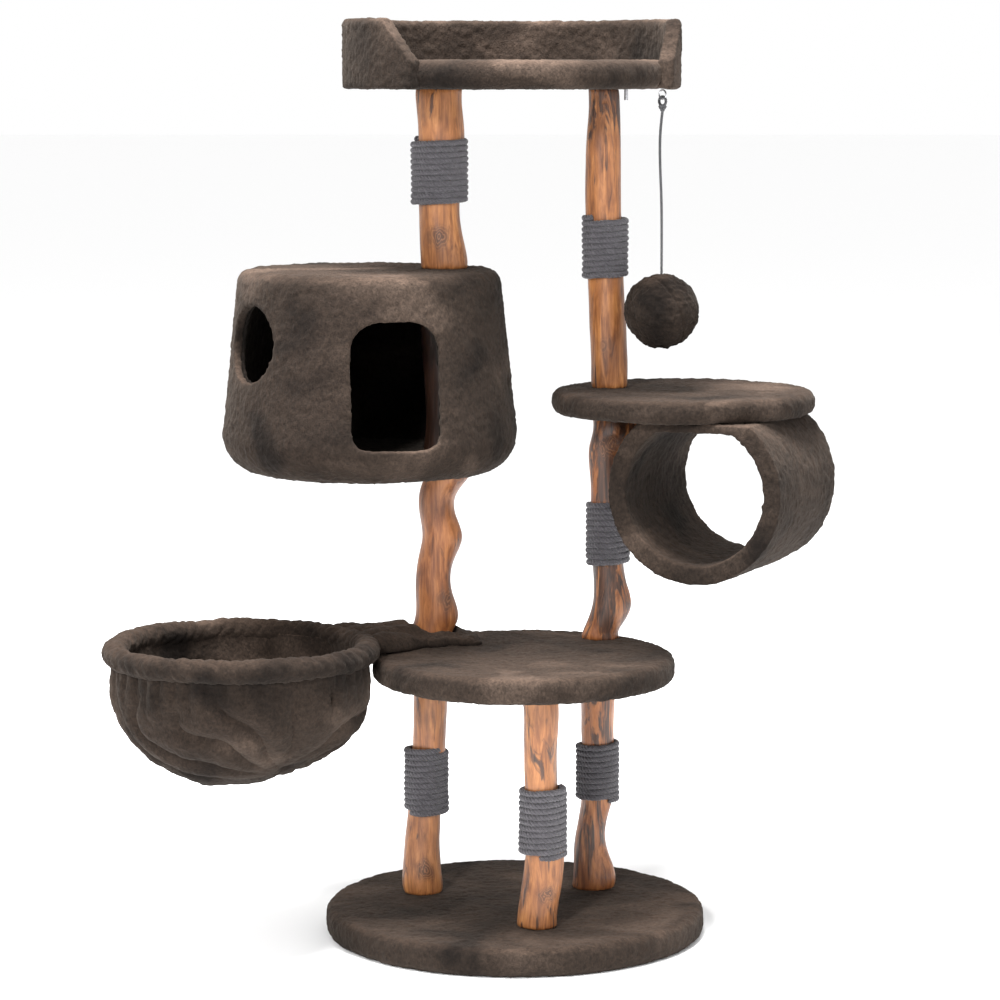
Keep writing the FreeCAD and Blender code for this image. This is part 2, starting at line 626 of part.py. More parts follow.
core_radius = "tunnel_radius - tunnel_plush"
lining_radius = "tunnel_radius - tunnel_plush - tunnel_core"
bore_radius = "tunnel_radius - tunnel_plush - tunnel_core - tunnel_lining"
core_length = "tunnel_length - 2 * tunnel_rim"
tunnel_outer = flattened_tube("tunnel_outer", "tunnel_radius", "tunnel_drop", "tunnel_length")
tunnel_frame = flattened_tube("tunnel_frame", core_radius, "tunnel_drop - 4", core_length)
tunnel_room = flattened_tube("tunnel_room", lining_radius, "tunnel_drop - 9", core_length)
tunnel_bore = flattened_tube("tunnel_bore", bore_radius, "tunnel_drop - 14", "tunnel_length + 2")
subpart(cut("tunnel_plush_cut", tunnel_outer, tunnel_frame, tunnel_bore, *tunnel_holes),
        "tunnel_plush")
subpart(cut("tunnel_core_cut", tunnel_frame, tunnel_room, *tunnel_holes), "tunnel_core")
subpart(cut("tunnel_lining_cut", tunnel_room, tunnel_bore, *tunnel_holes), "tunnel_lining")
tunnel_bolts = [headed(f"tunnel_bolt_{number}", axis, "side_top - plush_skin - head_thick",
                       "side_thick - plush_skin - head_thick + 9")
                for number, axis in enumerate(TUNNEL_BOLTS)]
group("tunnel_bolts", tunnel_bolts)

# ---------------------------------------------------------------- bed wall
def wall_band_body(name, inner, outer, low, high, edge=None):
    """Part of a ring round the bed, open towards the front."""
    body = new_body(name)
    sketch = sketch_on(body, "XZ_Plane")
    polygon(sketch, [(inner, low), (outer, low), (outer, high), (inner, high)])
    band = revolve(body, sketch, "360 - wall_opening")
    if edge is not None:
        level = value(high)
        round_edges(body, band, "edges", edge, lambda e: is_ring(e, level))
    return place(body, "bed_x", "bed_y", "bed_under", turn="wall_turn - 90 + wall_opening / 2")


def end_cutter(name, side, setback):
    """A block that trims one end of the wall down to the lip along a slope."""
    middle = "bed_radius + wall_thick / 2"
    heading = f"wall_turn - 90 {'+' if side > 0 else '-'} wall_opening / 2"
    away, near, far = f"{side} * 5", f"{-side} * ({setback})", f"{-side} * (wall_slope + {setback})"
    body = new_body(name)
    sketch = sketch_on(body, "XZ_Plane")
    polygon(sketch, [(away, "-5"), (near, "-5"), (near, "bed_thick"), (far, "wall_height + 1"),
                     (away, "wall_height + 1")])
    pad(body, sketch, "3 * wall_thick", midplane=True)
    return place(body, f"bed_x + ({middle}) * cos(({heading}) * 1deg)",
                 f"bed_y + ({middle}) * sin(({heading}) * 1deg)", "bed_under",
                 turn=f"{heading} - 90")


band_outer = wall_band_body("band_outer", "bed_radius", "bed_radius + wall_thick", "0",
                            "wall_height", "wall_edge")
band_core = wall_band_body("band_core", "bed_radius + (wall_thick - wall_core) / 2",
                           "bed_radius + (wall_thick + wall_core) / 2", "wall_pad",
                           "wall_height - wall_pad")
core_blank = cut("wall_core_cut", band_core, end_cutter("core_start", 1, "wall_pad"),
                 end_cutter("core_finish", -1, "wall_pad"))
subpart(core_blank, "bed_wall")
subpart(cut("wall_plush_cut", band_outer, end_cutter("cover_start", 1, "0"),
            end_cutter("cover_finish", -1, "0"), core_blank), "bed_wall_plush")


# ---------------------------------------------------------------- hammock
def on_arm(along, aside):
    """Expressions for a point of the hammock, measured from its swivel axis."""
    swing = "hammock_angle * 1deg"
    return (f"mid_left_x + ({along}) * cos({swing}) - ({aside}) * sin({swing})",
            f"mid_left_y + ({along}) * sin({swing}) + ({aside}) * cos({swing})")


def arm_block(name, start, end, width, height, z):
    """A block that lies along the hammock's arm, centred on it."""
    block = box(name, f"{end} - ({start})", width, height)
    return place(block, *on_arm(start, f"-({width}) / 2"), z, turn="hammock_angle")


def arm_rod(name, aside):
    """One of the two rods that carry the hoop."""
    thing = doc.addObject("Part::Cylinder", name)
    bind(thing, Radius="hoop_wire", Height="hammock_reach - hoop_radius + 1 - lug_start")
    x, y = on_arm("lug_start", aside)
    heading = Rotation(Vector(0, 0, 1), value("hammock_angle")) * Rotation(Vector(0, 1, 0), 90)
    thing.Placement = Placement(Vector(value(x), value(y), value("hoop_level")), heading)
    return thing


hoop_centre = on_arm("hammock_reach", "0")
plate_level = "mid_top + swivel_gap"
plate_top = "mid_top + swivel_gap + plate_thick"
plate_disc = cylinder("plate_disc", "plate_radius", "plate_thick", *MID_LEFT, plate_level)
plate_tongue = arm_block("plate_tongue", "0", "plate_reach", "plate_width", "plate_thick", plate_level)
plate_lug = arm_block("plate_lug", "lug_start", "plate_reach", "plate_width",
                      "hoop_rise - swivel_gap - plate_thick", plate_top)
plate_bore = cylinder("plate_bore", "stud_radius + swivel_gap", "plate_thick", *MID_LEFT, plate_level)
plate_blank = fuse("plate_blank", plate_disc, plate_tongue, plate_lug)

hoop_ring = torus("hoop_ring", "hoop_radius", "hoop_wire", *hoop_centre, "hoop_level")
hoop_blank = fuse("hoop_blank", hoop_ring, arm_rod("hoop_rod_left", "arm_spread"),
                  arm_rod("hoop_rod_right", "-arm_spread"))
subpart(hoop_blank, "hammock_hoop")
subpart(cut("plate_cut", plate_blank, plate_bore, hoop_blank), "hammock_bracket")
sleeve_blank = torus("sleeve_blank", "hoop_radius", "sleeve_radius", *hoop_centre, "hoop_level")
subpart(cut("sleeve_cut", sleeve_blank, hoop_blank), "hammock_sleeve")


def bowl_side(inset):
    """One skin of the bag's section, rim to foot: a straight band, then most of a quarter ellipse."""
    across, down = value(f"bowl_radius - {inset}"), value(f"bowl_depth - {inset}")
    waist = Vector(0, 0, -value("bowl_drop"))
    corner = waist + Vector(across, 0, 0)
    rim = Vector(across, 0, -value("sleeve_radius + seam_gap"))
    oval = Part.Ellipse(corner, waist - Vector(0, 0, down), waist)
    belly = Part.ArcOfEllipse(oval, 0, math.radians(82)).toShape()
    foot = belly.valueAt(belly.LastParameter)
    return rim, foot, [Part.LineSegment(rim, corner).toShape(), belly]


def bowl(name):
    """The hammock's bag: a thin closed section revolved, with a small flat bottom."""
    outer_rim, outer_foot, outside = bowl_side("0")
    inner_rim, inner_foot, inside = bowl_side("bowl_cloth")
    under, over = Vector(0, 0, outer_foot.z), Vector(0, 0, inner_foot.z)
    closing = [(outer_rim, inner_rim), (outer_foot, under), (under, over), (over, inner_foot)]
    edges = outside + inside + [Part.LineSegment(start, end).toShape() for start, end in closing]
    section = Part.Face(Part.Wire(Part.__sortEdges__(edges)))
    bag = feature(name, section.revolve(Vector(0, 0, 0), Vector(0, 0, 1), 360))
    return place(bag, *hoop_centre, "hoop_level")


subpart(bowl("bowl"), "hammock_bowl")
collar_disc = cylinder("collar_disc", "collar_radius", "collar_thick", *MID_LEFT,
                       f"{plate_top} + 0.2")
collar_hole = cylinder("collar_hole", "collar_bore", "neck_thick", *MID_LEFT, f"{plate_top} + 0.2")
neck_block = arm_block("neck_block", "collar_bore + 5", "hammock_reach - hoop_radius", "neck_width",
                       "neck_thick", f"{plate_top} + 0.2")
subpart(cut("neck_cut", fuse("neck_blank", collar_disc, neck_block), collar_hole, plate_blank,
            hoop_blank, sleeve_blank), "hammock_neck")


# ---------------------------------------------------------------- rope wraps
def rope_wrap(label, limb_blank, axis_low, axis_high, low, length, radius, aside):
    """Rope turns round a post, as one sleeve that fits the wood."""
    share = f"(({low}) + {length} / 2 - ({axis_low[2]})) / ({axis_high[2]} - ({axis_low[2]}))"
    x, y = (f"{first} + ({last} - ({first})) * {share} + {shift}"
            for first, last, shift in zip(axis_low[:2], axis_high[:2], aside))
    sleeve = cylinder(f"{label}_sleeve", f"{radius} + rope_thick", length, x, y, low)
    subpart(cut(f"{label}_cut", sleeve, limb_blank), label)


rope_wrap("rope_upper_left", upper_left, (*HOUSE_LEFT, "house_top"), (*BED_LEFT, "bed_under"),
          "house_top + 97", "upper_left_rope", 36, (-2, 1))
rope_wrap("rope_upper_right", upper_right, (*SIDE_RIGHT, "side_top"), (*BED_RIGHT, "bed_under"),
          "side_top + 171", "upper_right_rope", 28, (-2, 2))
rope_wrap("rope_middle_right", middle_right, (*MID_RIGHT, "mid_top"), (*SIDE_RIGHT, "side_under"),
          "mid_top + 118", "middle_right_rope", 26.5, (6, 3))
rope_wrap("rope_lower_left", lower_left, (*BASE_LEFT, "base_thick"), (*MID_LEFT, "mid_under"),
          "base_thick + 128", "lower_left_rope", 27, (-2, 3))
rope_wrap("rope_lower_front", lower_front, (*BASE_FRONT, "base_thick"), (*MID_FRONT, "mid_under"),
          "base_thick + 108", "lower_front_rope", 28.5, (8, 3))
rope_wrap("rope_lower_right", lower_right, (*BASE_RIGHT, "base_thick"), (*MID_RIGHT, "mid_under"),
          "base_thick + 141", "lower_right_rope", 26.5, (3, 3))


# ---------------------------------------------------------------- hanging toy
def upright_ring(name, ring, wire, level, heading):
    """A ring that stands on edge, its axis level and turned to a heading."""
    thing = doc.addObject("Part::Torus", name)
    bind(thing, Radius1=ring, Radius2=wire)
    turn = Rotation(Vector(0, 0, 1), value(heading)) * Rotation(Vector(0, 1, 0), 90)
    thing.Placement = Placement(Vector(value("toy_x"), value("toy_y"), value(level)), turn)
    return thing


eye_ring = upright_ring("eye_ring", "eye_radius", "eye_wire", "eye_level", "toy_turn")
eye_stem = cylinder("eye_stem", "eye_wire", "eye_shank + 2 * eye_wire", "toy_x", "toy_y",
                    "eye_level + eye_radius")
subpart(fuse("eye_blank", eye_ring, eye_stem), "toy_eye")
loop_level = "pivot_level + eye_wire + 0.4 + cord_radius - loop_radius"
loop_ring = upright_ring("loop_ring", "loop_radius", "cord_radius", loop_level, "toy_turn + 90")
subpart(loop_ring, "toy_loop")
knot_ball = doc.addObject("Part::Sphere", "knot_ball")
bind(knot_ball, Radius="knot_radius")
place(knot_ball, "toy_x", "toy_y", "knot_level")
subpart(cut("knot_cut", knot_ball, loop_ring), "toy_knot")

toy_sphere = doc.addObject("Part::Sphere", "toy_sphere")
bind(toy_sphere, Radius="ball_radius")
place(toy_sphere, "toy_x", "toy_y", "ball_level")
cord_start = "ball_level + ball_radius - 12"
cord_tube = cylinder("cord_tube", "cord_radius",
                     f"knot_level - knot_radius - swivel_gap - ({cord_start})",
                     "toy_x", "toy_y", cord_start)
subpart(cord_tube, "toy_cord")
subpart(cut("ball_cut", toy_sphere, cord_tube), "toy_ball")

# ---------------------------------------------------------------- checks and files
doc.recompute()
failed = [thing.Label for thing in doc.Objects
          if "Invalid" in thing.State or "Error" in thing.State]
for thing in SUBPARTS:
    shape = thing.Shape
    if shape.isNull() or not shape.isValid() or not shape.Solids:
        failed.append(thing.Label)
if failed:
    raise RuntimeError("sub-parts that failed: " + ", ".join(sorted(set(failed))))

os.makedirs("parts", exist_ok=True)
for thing in SUBPARTS:
    thing.Shape.exportStep(os.path.join("parts", f"{thing.Label}.step"))
    print(f"{thing.Label}: {len(thing.Shape.Solids)} solid(s), {thing.Shape.Volume / 1000:.1f} cm3")
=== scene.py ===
"""Looks for the cat tree: plush, natural wood, rope and the studio round them.

Everything is in metres in the CAD model's frame.  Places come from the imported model.
"""
import json
import math

import bpy
import numpy as np
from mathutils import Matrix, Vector


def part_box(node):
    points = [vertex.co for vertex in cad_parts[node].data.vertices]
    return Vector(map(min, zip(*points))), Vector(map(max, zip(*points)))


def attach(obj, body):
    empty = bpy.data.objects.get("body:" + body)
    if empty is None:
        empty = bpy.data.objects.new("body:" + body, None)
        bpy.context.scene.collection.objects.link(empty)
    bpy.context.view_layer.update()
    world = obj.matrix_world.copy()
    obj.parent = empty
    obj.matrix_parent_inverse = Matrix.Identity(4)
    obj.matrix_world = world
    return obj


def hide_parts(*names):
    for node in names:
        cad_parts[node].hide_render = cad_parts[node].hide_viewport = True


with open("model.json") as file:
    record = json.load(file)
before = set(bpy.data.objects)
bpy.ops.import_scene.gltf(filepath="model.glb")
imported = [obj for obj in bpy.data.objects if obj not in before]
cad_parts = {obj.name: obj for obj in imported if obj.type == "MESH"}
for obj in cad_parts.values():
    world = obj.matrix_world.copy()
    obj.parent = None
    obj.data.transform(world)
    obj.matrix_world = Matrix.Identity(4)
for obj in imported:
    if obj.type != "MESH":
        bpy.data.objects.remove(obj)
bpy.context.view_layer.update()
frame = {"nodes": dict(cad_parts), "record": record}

MM = 0.001


# ------------------------------------------------------------------ noise on points
def lattice(cell, seed):
    """A repeatable random number from 0 to 1 for each integer cell."""
    x, y, z = (cell[:, axis].astype(np.int64) for axis in range(3))
    mixed = (x * 374761393 + y * 668265263 + z * 1274126177 + seed * 974634777) & 0xFFFFFFFF
    mixed = ((mixed ^ (mixed >> 13)) * 1274126177) & 0xFFFFFFFF
    return ((mixed ^ (mixed >> 16)) & 0xFFFF) / 65535.0


def noise(points, size, seed=0):
    """Smooth noise from 0 to 1 whose lumps are about size across."""
    scaled = points / size
    cell = np.floor(scaled)
    part = scaled - cell
    part = part * part * (3 - 2 * part)
    total = np.zeros(len(points))
    for corner in np.ndindex(2, 2, 2):
        step = np.array(corner)
        weight = np.prod(np.where(step == 1, part, 1 - part), axis=1)
        total += weight * lattice(cell + step, seed)
    return total


def fractal(points, size, octaves=3, seed=0):
    """Layered noise from -1 to 1."""
    total, reach, weight = np.zeros(len(points)), 0.0, 1.0
    for octave in range(octaves):
        total += weight * (2 * noise(points, size / 2 ** octave, seed + 17 * octave) - 1)
        reach += weight
        weight *= 0.5
    return total / reach


def smooth_step(low, high, values):
    share = np.clip((values - low) / (high - low), 0, 1)
    return share * share * (3 - 2 * share)


# ------------------------------------------------------------------ meshes
def new_object(name, points, faces, material, smooth=True):
    mesh = bpy.data.meshes.new(name)
    mesh.from_pydata(np.asarray(points).tolist(), [], faces)
    mesh.polygons.foreach_set("use_smooth", [smooth] * len(mesh.polygons))
    mesh.update()
    thing = bpy.data.objects.new(name, mesh)
    bpy.context.scene.collection.objects.link(thing)
    thing.data.materials.append(material)
    return thing


def points_of(thing):
    flat = np.empty(len(thing.data.vertices) * 3, np.float32)
    thing.data.vertices.foreach_get("co", flat)
    return flat.reshape(-1, 3).astype(float)


def normals_of(thing):
    flat = np.empty(len(thing.data.vertices) * 3, np.float32)
    thing.data.vertex_normals.foreach_get("vector", flat)
    return flat.reshape(-1, 3).astype(float)


def set_points(thing, points):
    thing.data.vertices.foreach_set("co", np.asarray(points, np.float32).ravel())
    thing.data.update()


def apply_modifiers(thing):
    """Bake the object's modifiers into its mesh."""
    bpy.context.view_layer.update()
    graph = bpy.context.evaluated_depsgraph_get()
    baked = bpy.data.meshes.new_from_object(thing.evaluated_get(graph))
    thing.modifiers.clear()
    thing.data = baked
    baked.polygons.foreach_set("use_smooth", [True] * len(baked.polygons))
    return thing


def solid_copy(name, nodes, voxel, smoothing=2):
    """One even mesh of the outer form that several CAD nodes make together."""
    points, faces, start = [], [], 0
    for node in nodes:
        mesh = frame["nodes"][node].data
        own = np.empty(len(mesh.vertices) * 3, np.float32)
        mesh.vertices.foreach_get("co", own)
        points.append(own.reshape(-1, 3))
        faces += [[corner + start for corner in polygon.vertices] for polygon in mesh.polygons]
        start += len(mesh.vertices)
    mesh = bpy.data.meshes.new(name)
    mesh.from_pydata(np.concatenate(points).tolist(), [], faces)
    thing = bpy.data.objects.new(name, mesh)
    bpy.context.scene.collection.objects.link(thing)
    weld = thing.modifiers.new("weld", "WELD")
    weld.merge_threshold = 1e-5
    remesh = thing.modifiers.new("even", "REMESH")
    remesh.mode = "VOXEL"
    remesh.voxel_size = voxel
    if smoothing:
        relax = thing.modifiers.new("relax", "SMOOTH")
        relax.iterations = smoothing
        relax.factor = 0.5
    return apply_modifiers(thing)


def swell(thing, amount):
    """Move every point along its normal by an amount that can differ by point."""
    set_points(thing, points_of(thing) + normals_of(thing) * np.asarray(amount).reshape(-1, 1))


def ruffle(thing, seed, pile=1.0):
    """Give a plush surface its soft unevenness and the clumps of its pile."""
    points = points_of(thing)
    wave = 1.3 * MM * fractal(points, 0.055, 2, seed)
    clump = 2.0 * MM * (noise(points, 0.009, seed + 3) - 0.5)
    tuft = 2.0 * MM * (noise(points, 0.0048, seed + 5) - 0.5)
    swell(thing, pile * (wave + clump + tuft))


def finish_piece(thing, body, slot, *nodes):
    """Attach a piece to its body and hide the CAD nodes that it stands for."""
    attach(thing, body)
    if nodes:
        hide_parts(*nodes)
    return thing


# ------------------------------------------------------------------ tubes, strands and rings
def unit(vectors):
    return vectors / np.maximum(np.linalg.norm(vectors, axis=-1, keepdims=True), 1e-12)


def frames_along(path):
    """Two sideways directions for each point of a path, turning as little as they can."""
    along = unit(np.gradient(path, axis=0))
    start = np.cross(along[0], (0.31, 0.52, 0.79))
    side = np.empty_like(path)
    side[0] = unit(start)
    for index in range(1, len(path)):
        carried = side[index - 1] - along[index] * np.dot(side[index - 1], along[index])
        side[index] = carried / np.linalg.norm(carried)
    return side, np.cross(along, side)


def tube(path, radius, sides):
    """Points and faces of a capped round tube."""
    side, up = frames_along(path)
    turn = np.linspace(0, 2 * math.pi, sides, endpoint=False)
    radii = np.broadcast_to(radius, len(path))[:, None, None]
    rings = path[:, None] + radii * (np.cos(turn)[None, :, None] * side[:, None]
                                     + np.sin(turn)[None, :, None] * up[:, None])
    faces = ring_faces(len(path), sides)
    faces += [list(range(sides))[::-1], [(len(path) - 1) * sides + corner for corner in range(sides)]]
    return rings.reshape(-1, 3), faces


def ring_faces(rows, columns):
    """Quads between rows of points, each row a closed ring."""
    faces = []
    for row in range(rows - 1):
        for column in range(columns):
            after = (column + 1) % columns
            faces.append([row * columns + column, row * columns + after,
                          (row + 1) * columns + after, (row + 1) * columns + column])
    return faces


def twisted(name, path, radius, lay, material, count=3, sides=6):
    """A rope along a path: round strands twisted about it."""
    path = np.asarray(path, float)
    side, up = frames_along(path)
    run = np.concatenate([[0], np.cumsum(np.linalg.norm(np.diff(path, axis=0), axis=1))])
    strand_radius = radius * 0.5
    offset = radius * 0.56
    ends = np.clip(np.minimum(run, run[-1] - run) / (0.6 * radius), 0.25, 1)
    points, faces, start = [], [], 0
    for strand in range(count):
        angle = 2 * math.pi * (run / lay + strand / count)
        centre = path + offset * (np.cos(angle)[:, None] * side + np.sin(angle)[:, None] * up)
        own, own_faces = tube(centre, strand_radius * ends, sides)
        points.append(own)
        faces += [[corner + start for corner in face] for face in own_faces]
        start += len(own)
    return new_object(name, np.concatenate(points), faces, material)


def ring_mesh(name, rows, material, loop=False):
    """A closed skin over rows of ring points: capped at both ends, or the rows run round in a loop."""
    rows = np.asarray(rows)
    count, columns = rows.shape[:2]
    faces = ring_faces(count, columns)
    points = rows.reshape(-1, 3)
    if loop:
        last = (count - 1) * columns
        faces += [[last + column, last + (column + 1) % columns, (column + 1) % columns, column]
                  for column in range(columns)]
    else:
        points = np.concatenate([points, [rows[0].mean(axis=0)], [rows[-1].mean(axis=0)]])
        first, end = count * columns, (count - 1) * columns
        faces += [[first, (column + 1) % columns, column] for column in range(columns)]
        faces += [[first + 1, end + column, end + (column + 1) % columns] for column in range(columns)]
    return new_object(name, points, faces, material)


# ------------------------------------------------------------------ materials
def new_material(name):
    material = bpy.data.materials.new(name)
    material.use_nodes = True
    return material, material.node_tree.nodes, material.node_tree.links


def mapped(nodes, links, scale):
    """Object coordinates stretched by a scale for each axis."""
    where = nodes.new("ShaderNodeTexCoord")
    stretch = nodes.new("ShaderNodeMapping")
    stretch.inputs["Scale"].default_value = scale
    links.new(where.outputs["Object"], stretch.inputs["Vector"])
    return stretch.outputs["Vector"]


def noise_node(nodes, links, vector, scale, detail=3.0, roughness=0.5, distortion=0.0):
    node = nodes.new("ShaderNodeTexNoise")
    node.inputs["Scale"].default_value = scale
    node.inputs["Detail"].default_value = detail
    node.inputs["Roughness"].default_value = roughness
    node.inputs["Distortion"].default_value = distortion
    links.new(vector, node.inputs["Vector"])
    return node.outputs["Fac"]


def ramp_node(nodes, links, factor, stops):
    node = nodes.new("ShaderNodeValToRGB")
    ramp = node.color_ramp
    while len(ramp.elements) < len(stops):
        ramp.elements.new(0.5)
    for element, (place, colour) in zip(ramp.elements, stops):
        element.position = place
        element.color = (*colour, 1)
    links.new(factor, node.inputs["Fac"])
    return node.outputs["Color"]


def mix_node(nodes, links, kind, factor, first, second):
    """Mix two colours; factor is a number or a socket."""
    node = nodes.new("ShaderNodeMix")
    node.data_type = "RGBA"
    node.blend_type = kind
    sockets = {"factor": node.inputs[0], "first": node.inputs[6], "second": node.inputs[7]}
    for key, given in (("factor", factor), ("first", first), ("second", second)):
        if isinstance(given, bpy.types.NodeSocket):
            links.new(given, sockets[key])
        elif key == "factor":
            sockets[key].default_value = given
        else:
            sockets[key].default_value = (*given, 1)
    return node.outputs[2]


def math_node(nodes, links, operation, first, second):
    node = nodes.new("ShaderNodeMath")
    node.operation = operation
    for socket, given in zip(node.inputs, (first, second)):
        if isinstance(given, bpy.types.NodeSocket):
            links.new(given, socket)
        else:
            socket.default_value = given
    return node.outputs[0]


def bump_node(nodes, links, height, strength, distance, under=None):
    node = nodes.new("ShaderNodeBump")
    node.inputs["Strength"].default_value = strength
    node.inputs["Distance"].default_value = distance
    links.new(height, node.inputs["Height"])
    if under is not None:
        links.new(under, node.inputs["Normal"])
    return node.outputs["Normal"]


def plush_material(name, lift=1.0):
    """Long dark brown pile, brushed lighter and darker in patches; faces turned upward carry a painted
    highlight, as if lit from above.
    """
    material, nodes, links = new_material(name)
    shader = nodes["Principled BSDF"]
    even = mapped(nodes, links, (1, 1, 1))
    brushed = noise_node(nodes, links, mapped(nodes, links, (0.8, 1, 1.1)), 8.5, 2.5, 0.45, 0.5)
    dark = tuple(lift * part for part in (0.0072, 0.005, 0.0039))
    middle = tuple(lift * part for part in (0.0222, 0.0155, 0.0118))
    light = tuple(lift * part for part in (0.05, 0.0355, 0.0275))
    spread = 0.085
    base = ramp_node(nodes, links, brushed, [(0.5 - 2.2 * spread, dark), (0.5 - 0.3 * spread, middle),
                                             (0.5 + 0.5 * spread, middle), (0.5 + 2.2 * spread, light)])
    clump = noise_node(nodes, links, even, 150, 2, 0.5)
    flecks = ramp_node(nodes, links, clump, [(0.3, (0.78, 0.78, 0.78)), (0.7, (1.2, 1.2, 1.2))])
    colour = mix_node(nodes, links, "MULTIPLY", 0.85, base, flecks)
    fibre = noise_node(nodes, links, mapped(nodes, links, (0.5, 1, 0.4)), 520, 2, 0.6, 0.8)
    hairs = ramp_node(nodes, links, fibre, [(0.32, (0.55, 0.55, 0.55)), (0.72, (1.45, 1.42, 1.38))])
    colour = mix_node(nodes, links, "MULTIPLY", 0.8, colour, hairs)
    # painted highlight: faces turned upward are painted up to a third lighter and faces turned sideways or
    # down a little darker, as if lit from above
    facing = nodes.new("ShaderNodeSeparateXYZ")
    links.new(nodes.new("ShaderNodeNewGeometry").outputs["Normal"], facing.inputs["Vector"])
    painted_top_light = ramp_node(nodes, links, facing.outputs["Z"],
                           [(0.3, (0.85, 0.85, 0.85)), (0.9, (1.35, 1.3, 1.27))])
    colour = mix_node(nodes, links, "MULTIPLY", 1.0, colour, painted_top_light)
    links.new(colour, shader.inputs["Base Color"])
    shader.inputs["Roughness"].default_value = 0.95
    shader.inputs["Specular IOR Level"].default_value = 0.12
    shader.inputs["Sheen Weight"].default_value = 0.07
    shader.inputs["Sheen Roughness"].default_value = 0.45
    shader.inputs["Sheen Tint"].default_value = (0.5, 0.41, 0.34, 1)
    coarse = bump_node(nodes, links, clump, 0.4, 0.003)
    links.new(bump_node(nodes, links, fibre, 0.8, 0.0015, coarse), shader.inputs["Normal"])
    return material


def wood_material(name, tone, bark, low, high, knots=()):
    """Varnished wood: grain along the post, round knots, and bark left on by share of the height."""
    material, nodes, links = new_material(name)
    shader = nodes["Principled BSDF"]
    along = mapped(nodes, links, (1, 1, 0.12))
    grain = noise_node(nodes, links, along, 95, 6, 0.62, 1.1)
    pale, middle, deep = tone
    colour = ramp_node(nodes, links, grain, [(0.28, deep), (0.48, middle), (0.68, pale)])
    clouds = noise_node(nodes, links, mapped(nodes, links, (1, 1, 0.5)), 26, 3, 0.55, 0.8)
    shade = ramp_node(nodes, links, clouds, [(0.3, (0.62, 0.5, 0.42)), (0.62, (1.12, 1.08, 1.02))])
    colour = mix_node(nodes, links, "MULTIPLY", 0.8, colour, shade)
    lines = noise_node(nodes, links, mapped(nodes, links, (1, 1, 0.035)), 330, 3, 0.6, 0.3)
    fine = ramp_node(nodes, links, lines, [(0.3, (0.55, 0.42, 0.34)), (0.5, (1, 1, 1))])
    colour = mix_node(nodes, links, "MULTIPLY", 0.55, colour, fine)
    streak = noise_node(nodes, links, mapped(nodes, links, (1, 1, 0.16)), 34, 4, 0.65, 1.6)
    height = nodes.new("ShaderNodeSeparateXYZ")
    links.new(nodes.new("ShaderNodeTexCoord").outputs["Object"], height.inputs["Vector"])
    share = nodes.new("ShaderNodeMapRange")
    links.new(height.outputs["Z"], share.inputs["Value"])
    share.inputs["From Min"].default_value = low
    share.inputs["From Max"].default_value = high
    left_on = ramp_node(nodes, links, share.outputs["Result"],
                        [(place, (amount, amount, amount)) for place, amount in bark])
    raised = math_node(nodes, links, "MULTIPLY", left_on, 0.34)
    mask = ramp_node(nodes, links, math_node(nodes, links, "ADD", streak, raised),
                     [(0.665, (0, 0, 0)), (0.735, (1, 1, 1))])
    dark_bark = ramp_node(nodes, links, lines, [(0.35, (0.016, 0.007, 0.004)), (0.65, (0.09, 0.034, 0.015))])
    colour = mix_node(nodes, links, "MIX", mask, colour, dark_bark)
    where = nodes.new("ShaderNodeTexCoord").outputs["Object"]
    for centre, size in knots:
        away = nodes.new("ShaderNodeVectorMath")
        away.operation = "DISTANCE"
        links.new(where, away.inputs[0])
        away.inputs[1].default_value = centre
        off_centre = math_node(nodes, links, "SUBTRACT", clouds, 0.5)
        wobble = math_node(nodes, links, "MULTIPLY", off_centre, 2.6 * size)
        reach = math_node(nodes, links, "DIVIDE",
                          math_node(nodes, links, "ADD", away.outputs["Value"], wobble), size)
        spot = ramp_node(nodes, links, reach, [(0.0, (1, 1, 1)), (0.3, (0.9, 0.9, 0.9)),
                                               (0.75, (0.35, 0.35, 0.35)), (1.0, (0, 0, 0))])
        ring_wave = math_node(nodes, links, "SINE", math_node(nodes, links, "MULTIPLY", reach, 26.0), 0.0)
        ring = ramp_node(nodes, links, ring_wave, [(0.1, (0.075, 0.028, 0.011)), (0.9, (0.2, 0.08, 0.03))])
        colour = mix_node(nodes, links, "MIX", spot, colour, ring)
    links.new(colour, shader.inputs["Base Color"])
    shader.inputs["Roughness"].default_value = 0.5
    shader.inputs["Coat Weight"].default_value = 0.1
    shader.inputs["Coat Roughness"].default_value = 0.14
    coarse = bump_node(nodes, links, grain, 0.35, 0.003)
    ridge = bump_node(nodes, links, mask, 0.5, 0.0012, coarse)
    links.new(bump_node(nodes, links, lines, 0.4, 0.0007, ridge), shader.inputs["Normal"])
    return material


def rope_material(name, light, dark):
    """Twisted fibre rope: fine yarn lines, with lighter and darker worn patches."""
    material, nodes, links = new_material(name)
    shader = nodes["Principled BSDF"]
    even = mapped(nodes, links, (1, 1, 1))
    yarn = noise_node(nodes, links, even, 900, 3, 0.7)
    worn = noise_node(nodes, links, even, 140, 3, 0.6)
    colour = ramp_node(nodes, links, yarn, [(0.3, dark), (0.7, light)])
    shade = ramp_node(nodes, links, worn, [(0.3, (0.6, 0.6, 0.62)), (0.7, (1.2, 1.2, 1.2))])
    links.new(mix_node(nodes, links, "MULTIPLY", 0.8, colour, shade), shader.inputs["Base Color"])
    shader.inputs["Roughness"].default_value = 0.72
    shader.inputs["Sheen Weight"].default_value = 0.25
    links.new(bump_node(nodes, links, yarn, 0.6, 0.0006), shader.inputs["Normal"])
    return material


